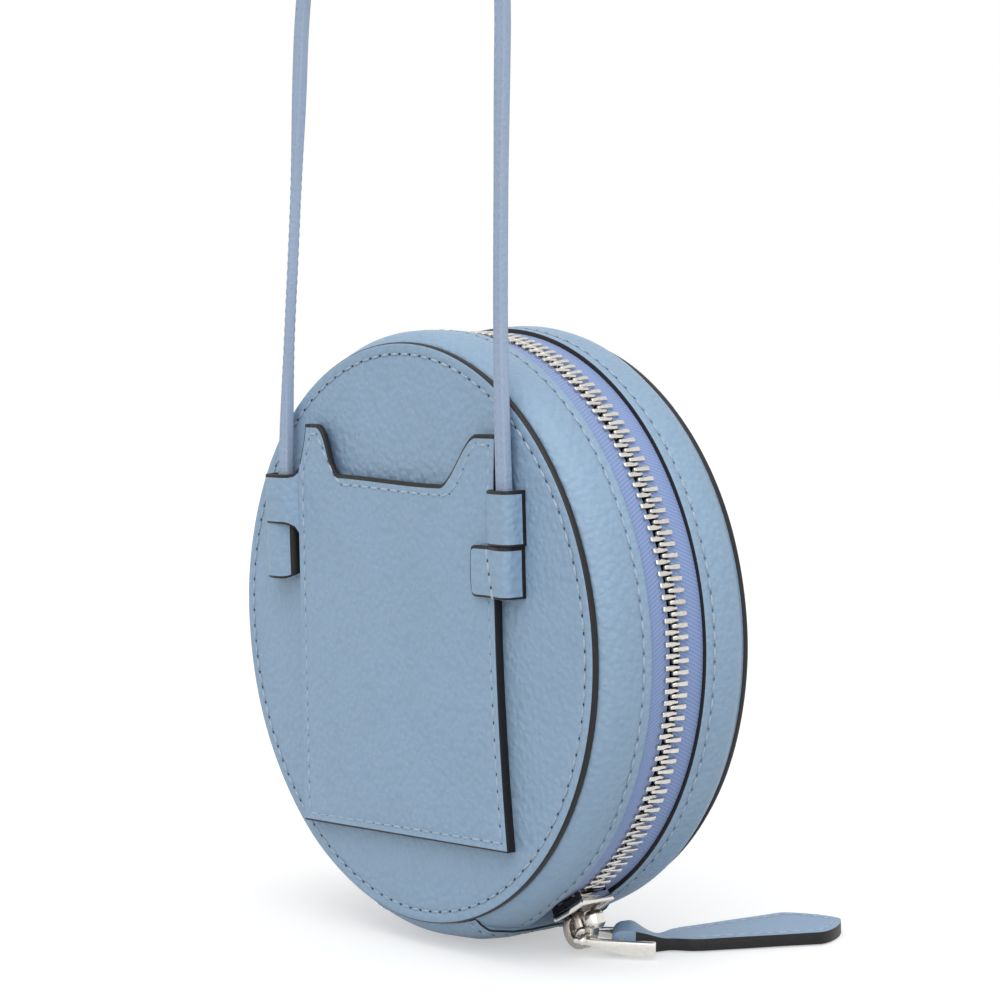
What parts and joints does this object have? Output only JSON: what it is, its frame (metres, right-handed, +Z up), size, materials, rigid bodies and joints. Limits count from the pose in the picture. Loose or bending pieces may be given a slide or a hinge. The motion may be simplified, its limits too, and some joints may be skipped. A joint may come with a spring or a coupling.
{
  "type": "circle bag",
  "caption": "Round leather drum bag with a zip round its rim, a slip pocket on its back and a thin shoulder strap. Unzipped, its front half folds down at the base.",
  "frame": {"origin": "under the top of the strap's loop, where a hook or a hand carries the bag", "axes": "+Z up; the back with its slip pocket faces -Y and the front +Y, along the drum's axis; the closed end of the zip is on the +X side"},
  "size_m": [0.1292, 0.0798, 0.2471],
  "materials": {
    "panel_leather": "pebbled, semi-matt",
    "strap_leather": "smooth, stitched",
    "pull_leather": "smooth, edge painted",
    "board": "bonded leather board",
    "lining_cloth": "woven cotton twill",
    "zip_tape": "woven herringbone tape",
    "zip_metal": "nickel plated, polished",
    "puller_metal": "nickel plated, polished"
  },
  "bodies": {
    "bag_body": {"back_panel": "panel_leather", "back_board": "board", "back_lining": "lining_cloth", "back_zip_band": "panel_leather", "back_band_lining": "lining_cloth", "back_zip_tape": "zip_tape", "back_zip_teeth": "zip_metal", "back_top_stop": "zip_metal", "bottom_stop": "zip_metal", "base_gusset": "panel_leather", "base_lining": "lining_cloth", "pocket_hem": "panel_leather", "pocket_face": "panel_leather", "right_strap_sleeve": "panel_leather", "left_strap_sleeve": "panel_leather", "right_strap_keeper": "panel_leather", "left_strap_keeper": "panel_leather", "strap": "strap_leather"},
    "front_shell": {"front_panel": "panel_leather", "front_board": "board", "front_lining": "lining_cloth", "front_zip_band": "panel_leather", "front_band_lining": "lining_cloth", "front_zip_tape": "zip_tape", "front_zip_teeth": "zip_metal", "front_top_stop": "zip_metal"},
    "slider": {"slider_body": "puller_metal"},
    "lug": {"puller_lug": "puller_metal"},
    "puller": {"puller_frame": "puller_metal", "puller_crossbar": "puller_metal"},
    "pull": {"zip_pull": "pull_leather"}
  },
  "joints": [
    {"name": "slider_travel", "type": "hinge", "parent": "bag_body", "child": "slider", "pos_m": [0, 0.0236, -0.176], "axis": [0, -1, 0], "range_deg": [0, 303], "deforming": ["back_zip_teeth", "front_zip_teeth"]},
    {"name": "front_opening", "type": "hinge", "parent": "bag_body", "child": "front_shell", "pos_m": [0, 0.0308, -0.2406], "axis": [-1, 0, 0], "range_deg": [0, 38], "deforming": ["base_gusset", "base_lining"]},
    {"name": "puller_swivel", "type": "hinge", "parent": "slider", "child": "lug", "pos_m": [0.03168, 0.0236, -0.23954], "axis": [0.4462, 0, -0.8949], "range_deg": [-37, 143]},
    {"name": "puller_swing", "type": "hinge", "parent": "lug", "child": "puller", "pos_m": [0.03168, 0.0236, -0.23954], "axis": [-0.7356, 0.6718, 0.0869], "range_deg": [-6, 100]},
    {"name": "pull_swing", "type": "hinge", "parent": "puller", "child": "pull", "pos_m": [0.03722, 0.02975, -0.24021], "axis": [-0.7356, 0.6718, 0.0869], "range_deg": [-5, 48]}
  ],
  "couplings": [
    {"joint": "front_opening", "follows": "slider_travel", "ratio": 0.1253}
  ]
}
